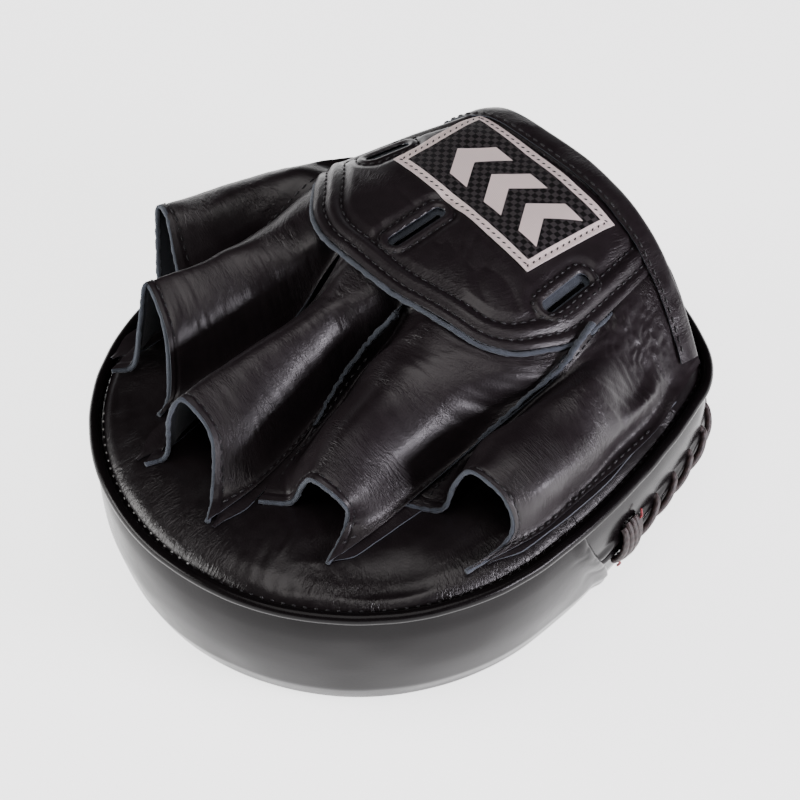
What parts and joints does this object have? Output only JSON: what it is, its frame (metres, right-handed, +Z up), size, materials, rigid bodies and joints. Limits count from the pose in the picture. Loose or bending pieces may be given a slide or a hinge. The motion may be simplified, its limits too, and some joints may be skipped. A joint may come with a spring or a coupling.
{
  "type": "focus mitt",
  "caption": "Padded leather striking mitt for the right hand: a flat padded body with a welted edge and a laced heel, and on its back a fingerless glove with an open cuff.",
  "frame": {"origin": "on the floor that the striking face rests on, under the centre of the half-circle at the finger end of the pad", "axes": "+Z up out of the back of the mitt, away from the striking face; +Y from the wrist to the fingertips; +X towards the little finger of a right hand"},
  "size_m": [0.2155, 0.2326, 0.1058],
  "materials": {
    "face_leather": "smooth black leather with a fine grain and a soft sheen",
    "wall_leather": "smooth black leather with a soft sheen",
    "back_leather": "soft black leather, padded and creased towards the welt",
    "glove_leather": "supple black leather with fine pebbled grain and creases, raw edges blue-grey",
    "suede": "flesh side of the leather, matte blue-grey nap",
    "soft_foam": "soft closed-cell foam sheet",
    "firm_foam": "firm closed-cell foam board",
    "cord": "twisted filler cord",
    "lace": "waxed dark brown lacing cord",
    "woven_label": "woven label, silver-grey and black satin thread"
  },
  "bodies": {
    "pad": {"strike_face": "face_leather", "gusset_band": "wall_leather", "heel_band_upper": "wall_leather", "heel_band_lower": "wall_leather", "face_foam": "soft_foam", "core_foam": "firm_foam", "back_foam": "firm_foam", "back_padding": "soft_foam", "back_panel": "back_leather", "welt_cord": "cord", "welt_cover": "wall_leather", "heel_lace": "lace", "lace_bar": "lace", "palm_piece": "glove_leather", "strip_thumb_outer": "glove_leather", "strip_index_thumb": "glove_leather", "strip_middle_index": "glove_leather", "strip_ring_middle": "glove_leather", "strip_little_ring": "glove_leather", "thumb_sleeve": "glove_leather", "index_sleeve": "glove_leather", "middle_sleeve": "glove_leather", "ring_sleeve": "glove_leather", "little_sleeve": "glove_leather"},
    "hand_cover": {"hand_panel": "glove_leather", "panel_foam": "soft_foam", "panel_lining": "suede", "thumb_side_wall": "glove_leather", "little_side_wall": "glove_leather", "woven_label": "woven_label", "cuff_binding": "glove_leather"}
  },
  "joints": [
    {"name": "cover_lift", "type": "hinge", "parent": "pad", "child": "hand_cover", "pos_m": [0, -0.012, 0.109], "axis": [-1, 0, 0], "range_deg": [0, 8], "stiffness_Nm_per_rad": 0.6}
  ]
}
